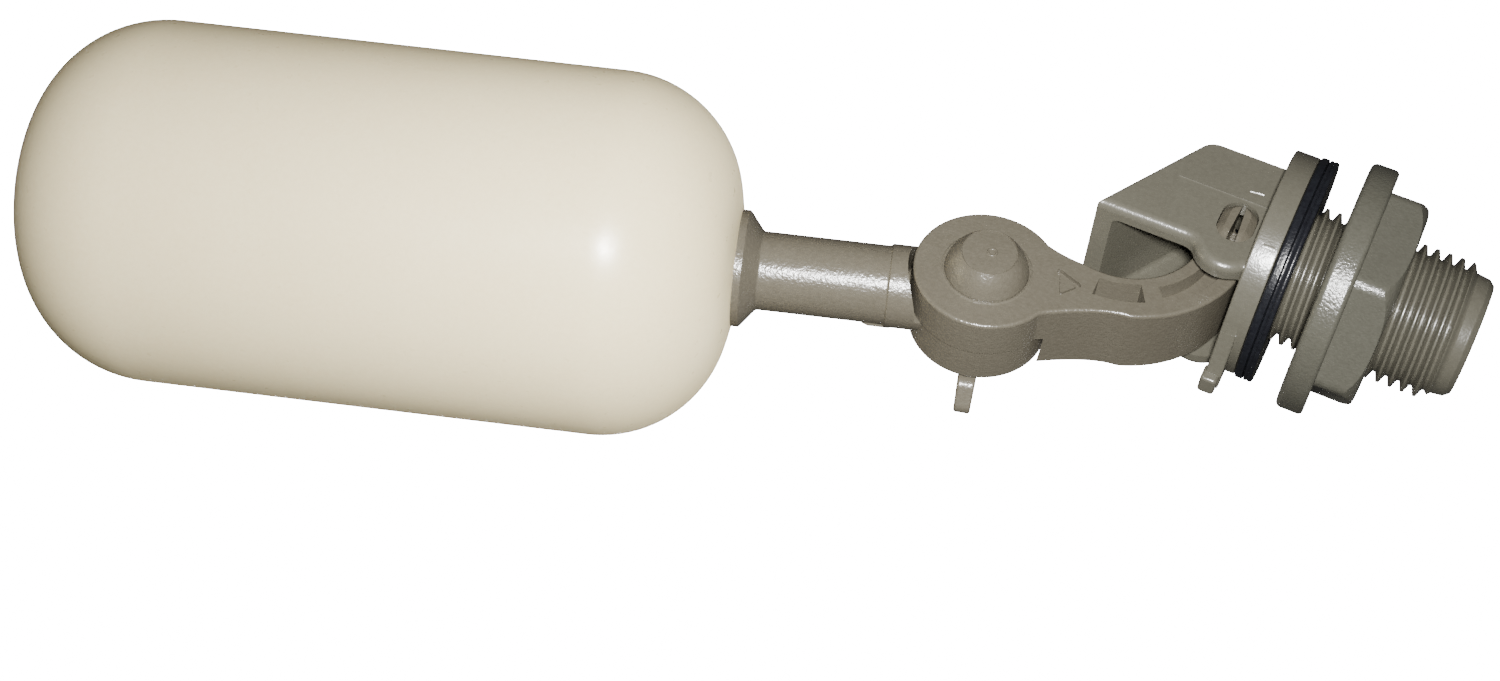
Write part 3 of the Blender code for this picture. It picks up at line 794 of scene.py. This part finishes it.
def make_seal():
    """Round rubber pad, turned with the lever from its closed place to its open one."""
    back = PAD_FRONT - PAD_THICKNESS
    profile = [(back, 0), (back, PAD_RADIUS), (PAD_FRONT - 0.4, PAD_RADIUS),
               (PAD_FRONT - 0.1, PAD_RADIUS - 0.12), (PAD_FRONT, PAD_RADIUS - 0.4), (PAD_FRONT, 0)]
    pad = turned("rubber_seal", profile, 48)
    about = Vector((PIVOT[0], 0, PIVOT[1])) * MM
    tilt = Matrix.Rotation(math.radians(-CLOSING_ANGLE), 4, "Y")
    lift = Matrix.Translation((0, 0, PAD_CENTRE_Z * MM))
    pad.data.transform(Matrix.Translation(about) @ tilt @ Matrix.Translation(-about) @ lift)
    return shade(pad, 50)


def make_bolt():
    """Bolt with a domed head: a fine groove round its low top, which has a small gate mark."""
    face, top, foot = LEVER_NEAR, BOLT_TOP, BOLT_HEAD_RADIUS
    rim = BOLT_TOP_RADIUS
    slope = []
    for step in range(BOLT_SLOPE_STEPS + 1):
        part = step / BOLT_SLOPE_STEPS
        bulge = BOLT_BULGE * math.sin(math.pi * part)
        slope.append((top + (face - top) * part - bulge * 0.5,
                      rim + (foot - rim) * part + bulge * 0.87))
    profile = [(top, 0), (top + 0.02, 0.4 * rim), (top + 0.07, 0.75 * rim),
               (top + 0.14, rim - 0.22), (top + 0.3, rim - 0.16), (top + 0.3, rim - 0.08),
               *slope, (face + 0.25, foot - 0.1),
               (face + 0.25, BOLT_RADIUS), (BOLT_TIP - 0.6, BOLT_RADIUS),
               (BOLT_TIP, BOLT_RADIUS - 0.6), (BOLT_TIP, 0)]
    bolt = along_y("dome_bolt", JOINT, profile, 96)
    gate = arc((top + 0.02, 0.62), 0.2, 0, 360, 12)[:-1]
    centre = (JOINT[0] + GATE_MARK[0], JOINT[1] + GATE_MARK[1])
    join(bolt, along_y("gate_mark", centre, gate, 32))
    return shade(bolt, 45)


def make_bolt_collar():
    """Low ring moulded round the foot of the bolt's head."""
    face, inner, outer = LEVER_NEAR, BOLT_HEAD_RADIUS + 0.12, BOLT_HEAD_RADIUS + 0.5
    profile = [(face + 0.2, inner), (face - 0.08, inner), (face - 0.13, inner + 0.08),
               (face, outer), (face + 0.2, outer)]
    return shade(along_y("bolt_collar", JOINT, profile, 96), 50)


def at_joint(degrees):
    """The move that carries a mesh drawn about the origin to the joint, turned about Y."""
    turn = Matrix.Rotation(math.radians(degrees), 4, "Y")
    return Matrix.Translation((JOINT[0] * MM, 0, JOINT[1] * MM)) @ turn


def wing_half_thickness(reach):
    """Half a wing's thickness, which falls from its root to its tip."""
    return WING_THICKNESS / 2 - WING_THINNING * (reach - WING_ROOT) / (WING_REACH - WING_ROOT)


def make_wing_nut():
    """Round hub with a wing to each side."""
    start = STEM_DISC_FAR + 0.05
    hole = BOLT_RADIUS + 0.05
    profile = [(start, hole), (start, 5.5), (start + 0.3, 5.6), (start + 1.2, 5.5),
               (WING_HUB_END - 0.5, 5.0), (WING_HUB_END, 4.6), (WING_HUB_END, hole)]
    nut = along_y("winged_nut", JOINT, profile, 72)
    root, tip = WING_ROOT, WING_REACH
    outline = rounded([(root, start + 0.5), (tip - 2.4, start + 0.9), (tip, start + 4.0),
                       (tip, start + 5.1), (tip - 1.0, start + 6.1), (root, start + 5.0)], 0.8, 4)
    for side in (-1, 1):
        shape = bmesh.new()
        rings = [[shape.verts.new((sign * wing_half_thickness(reach), y, -side * reach))
                  for reach, y in outline]
                 for sign in (-1, 1)]
        close_rings(shape, *rings)
        wing = finish_mesh(f"wing_{side}", shape)
        wing.data.transform(at_joint(-WING_ANGLE))
        round_edges(wing, 0.35, 3, 50)
        join(nut, wing)
    cut(nut, rod_y("wing_hole", JOINT, hole, start - 2, WING_HUB_END + 2, 64))
    return shade(nut)


# ---------------------------------------------------------------- float arm

def place_on_arm(item):
    """Carry a mesh, drawn along -X from the joint, to the joint and the arm's angle."""
    item.data.transform(at_joint(-ARM_DROP))
    return item


def cap_profile(start):
    """Half outline of the float's round end, from its axis out to the full radius."""
    lean = math.asin((FLOAT_RADIUS - FLOAT_CORNER) / (FLOAT_CAP - FLOAT_CORNER))
    points = []
    for step in range(CAP_STEPS):
        turn = lean * step / CAP_STEPS
        points.append((start + FLOAT_CAP * (1 - math.cos(turn)), FLOAT_CAP * math.sin(turn)))
    centre = start + FLOAT_CAP - (FLOAT_CAP - FLOAT_CORNER) * math.cos(lean)
    for step in range(CORNER_STEPS + 1):
        turn = lean + (math.pi / 2 - lean) * step / CORNER_STEPS
        points.append((centre - FLOAT_CORNER * math.cos(turn),
                       FLOAT_RADIUS - FLOAT_CORNER + FLOAT_CORNER * math.sin(turn)))
    return points


def make_float():
    """Straight-sided float with the same round cap at both ends."""
    near = cap_profile(FLOAT_START)
    far = [(2 * FLOAT_START + FLOAT_LENGTH - s, r) for s, r in reversed(near)]
    begin, end = near[-1][0], far[0][0]
    barrel = [(begin + (end - begin) * k / BARREL_STEPS, FLOAT_RADIUS)
              for k in range(1, BARREL_STEPS)]
    shell = turned("float_body", [(-s, r) for s, r in near + barrel + far], 144)
    return shade(place_on_arm(shell), 60)


def make_stem():
    """Joint disc, round stem with its collar and small step, and the flare at the float."""
    drop = FLOAT_CAP * (1 - math.cos(math.asin(FLARE_RADIUS / FLOAT_CAP)))
    seat = FLOAT_START + drop + 0.15
    profile = [(STEM_START, 0), (STEM_START, COLLAR_RADIUS), (COLLAR_END - 0.15, COLLAR_RADIUS),
               (COLLAR_END, COLLAR_RADIUS - 0.12), (COLLAR_END + 0.05, STEM_RADIUS + 0.1),
               (COLLAR_END + 0.3, STEM_RADIUS), (FLARE_START, STEM_RADIUS),
               (FLARE_START + 0.3, STEM_RADIUS + 0.15), (seat - 1.45, FLARE_RADIUS - 0.25),
               (seat - 1.2, FLARE_RADIUS), (seat, FLARE_RADIUS), (seat, 0)]
    rod = turned("rod", [(-s, r) for s, r in profile], 108)
    cut(rod, rod_y("lever_seat", (0, 0), STEM_SEAT_RADIUS, LEVER_NEAR - 2, 0.3, 128))
    settle(rod)
    wedge = [(-COLLAR_END + 1, -STEM_RADIUS + 2), (-COLLAR_END - 3.4, -STEM_RADIUS + 0.1),
             (-COLLAR_END - 2.3, -COLLAR_RADIUS), (-COLLAR_END + 1, -COLLAR_RADIUS)]
    step = prism("step", wedge, -STEP_HALF_WIDTH, STEP_HALF_WIDTH)
    round_edges(step, 0.3, 3)
    settle(step)
    step.data.transform(Matrix.Rotation(math.radians(STEP_TURN), 4, "X"))
    disc = [(0.05, 0), (0.05, STEM_DISC_RADIUS - 0.4), (0.12, STEM_DISC_RADIUS - 0.15),
            (0.35, STEM_DISC_RADIUS)]
    disc += arc((STEM_DISC_FAR - 0.8, STEM_DISC_RADIUS - 0.8), 0.8, 90, 0, 5)
    disc.append((STEM_DISC_FAR, 0))
    stem = along_y("arm_stem", (0, 0), disc, 128)
    join(stem, rod, step)
    return shade(place_on_arm(settle(stem)))


# ---------------------------------------------------------------- stage

# The camera's place and the flash's offset from it are in millimetres; the places and sizes
# of the lights and of the floor are in metres, and powers are in watts
CAMERA_PLACE = Vector((11.29, -240.33, -214.57))
CAMERA_RIGHT = Vector((0.89702, -0.03075, 0.44092))
CAMERA_UP = Vector((-0.36818, -0.60391, 0.70692))
FOCAL_PER_WIDTH = 2142.2 / 1500
SENSOR_WIDTH = 36
FLASH_OFFSET = (12.0, 11.0)
FLASH_SIZE = 0.02
FLASH_POWER = 0.78
FLASH_SPREAD = 90
LIGHT_TARGET = (-0.05, 0, -0.03)
# Soft lights behind the object: name, place, size, power
FILL_LIGHTS = (("rear_fill", (-0.345, 0.98, 0.39), 0.6, 20.0),
               ("top_fill", (-0.05, 0.65, 0.85), 0.8, 8.0),
               ("side_fill", (0.65, 0.70, 0.45), 0.6, 6.0),
               ("end_fill", (-0.85, 0.60, 0.25), 0.6, 4.0))
FILL_SPREAD = 120
SKY_STRENGTH = 0.035
BACKDROP_STRENGTH = 22.0
FLOOR_SIZE = 300.0
FLOOR_Z = -1.2
FLOOR_GLOW = 1.6


def make_camera():
    """The main view, from in front and below."""
    lens = bpy.data.cameras.new("camera")
    lens.sensor_width = SENSOR_WIDTH
    lens.lens = FOCAL_PER_WIDTH * SENSOR_WIDTH
    lens.clip_start = 0.01
    right = CAMERA_RIGHT.normalized()
    back = right.cross(CAMERA_UP).normalized()
    up = back.cross(right)
    camera = bpy.data.objects.new("camera", lens)
    turn = Matrix((right, up, back)).transposed().to_4x4()
    camera.matrix_world = Matrix.Translation(CAMERA_PLACE * MM) @ turn
    COLLECTION.objects.link(camera)
    bpy.context.scene.camera = camera


def area_light(name, place, size, power, spread, glossy):
    """A square light that faces the middle of the object and stays out of sight."""
    lamp = bpy.data.lights.new(name, "AREA")
    lamp.size = size
    lamp.spread = math.radians(spread)
    lamp.energy = power
    item = bpy.data.objects.new(name, lamp)
    item.location = place
    item.rotation_euler = (Vector(LIGHT_TARGET) - Vector(place)).to_track_quat("-Z", "Y").to_euler()
    item.visible_camera = False
    item.visible_glossy = glossy
    COLLECTION.objects.link(item)


def make_floor():
    """A wide pale floor that glows by itself and adds no light to the object."""
    bpy.ops.mesh.primitive_plane_add(size=FLOOR_SIZE, location=(0, 0, FLOOR_Z))
    floor = bpy.context.object
    floor.name = "floor"
    paper = bpy.data.materials.new("pale_floor")
    paper.use_nodes = True
    shader = paper.node_tree.nodes["Principled BSDF"]
    shader.inputs["Base Color"].default_value = (0.85, 0.85, 0.84, 1)
    shader.inputs["Roughness"].default_value = 0.8
    shader.inputs["Emission Color"].default_value = (1, 1, 0.99, 1)
    shader.inputs["Emission Strength"].default_value = FLOOR_GLOW
    floor.data.materials.append(paper)
    floor.visible_diffuse = False
    floor.visible_glossy = False


def make_world():
    """A white backdrop for the camera and a faint sky for everything else."""
    world = bpy.data.worlds.new("studio")
    world.use_nodes = True
    bpy.context.scene.world = world
    tree = world.node_tree
    sky = tree.nodes["Background"]
    sky.inputs["Color"].default_value = (1, 1, 1, 1)
    sky.inputs["Strength"].default_value = SKY_STRENGTH
    seen = node(tree, "ShaderNodeBackground", Color=(1, 1, 1, 1), Strength=BACKDROP_STRENGTH)
    path = node(tree, "ShaderNodeLightPath")
    mix = node(tree, "ShaderNodeMixShader")
    tree.links.new(path.outputs["Is Camera Ray"], mix.inputs["Fac"])
    tree.links.new(sky.outputs[0], mix.inputs[1])
    tree.links.new(seen.outputs[0], mix.inputs[2])
    tree.links.new(mix.outputs[0], tree.nodes["World Output"].inputs["Surface"])


def make_lights():
    """The flash beside the lens and the soft lights behind the object."""
    flash = (CAMERA_PLACE + CAMERA_RIGHT * FLASH_OFFSET[0] + CAMERA_UP * FLASH_OFFSET[1]) * MM
    area_light("flash", flash, FLASH_SIZE, FLASH_POWER, FLASH_SPREAD, True)
    for name, place, size, power in FILL_LIGHTS:
        area_light(name, place, size, power, FILL_SPREAD, False)


# ---------------------------------------------------------------- assembly

def add(piece, body, nodes, look):
    """Give a piece its look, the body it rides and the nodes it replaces."""
    piece.data.materials.clear()
    piece.data.materials.append(look)
    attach(piece, body)
    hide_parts(*nodes)


def main():
    """Make the looks, then every piece, then the stage."""
    body_grey = moulded("body_grey", light=(0.098, 0.093, 0.072), dark=(0.083, 0.078, 0.060),
                        roughness=0.26, grain=0.028, grain_scale=2800, specular=0.75)
    nut_grey = moulded("nut_grey", light=(0.080, 0.078, 0.062), dark=(0.067, 0.065, 0.051),
                       roughness=0.25, grain=0.075, grain_scale=2600, specular=0.62)
    arm_grey = moulded("arm_grey", light=(0.100, 0.090, 0.068), dark=(0.083, 0.074, 0.055),
                       roughness=0.25, grain=0.065, grain_scale=2400, specular=0.62)
    cream = moulded("float_cream", light=(0.93, 0.805, 0.49), dark=(0.88, 0.750, 0.440),
                    roughness=0.30, grain=0.006, grain_scale=2600, specular=0.55, subsurface=0.02)
    rubber = moulded("black_rubber", light=(0.012, 0.013, 0.016), dark=(0.006, 0.006, 0.008),
                     roughness=0.28, grain=0.045, grain_scale=2600, specular=0.36)
    add(make_hood(), "valve", ["valve_body"], body_grey)
    add(make_tail(), "valve", ["valve_body"], body_grey)
    add(make_gasket(), "valve", ["sealing_gasket"], rubber)
    add(make_nut(), "jam_nut", ["jam_nut"], nut_grey)
    add(make_pin(), "valve", ["pivot_pin"], arm_grey)
    add(make_lever(), "lever", ["lever"], arm_grey)
    add(make_seal(), "lever", ["seal_pad"], rubber)
    add(make_bolt(), "lever", ["joint_bolt"], arm_grey)
    add(make_bolt_collar(), "lever", ["lever"], arm_grey)
    add(make_wing_nut(), "wing_nut", ["wing_nut"], arm_grey)
    add(make_stem(), "float_arm", ["float_stem"], arm_grey)
    add(make_float(), "float_arm", ["float_shell"], cream)
    make_camera()
    make_floor()
    make_world()
    make_lights()


main()
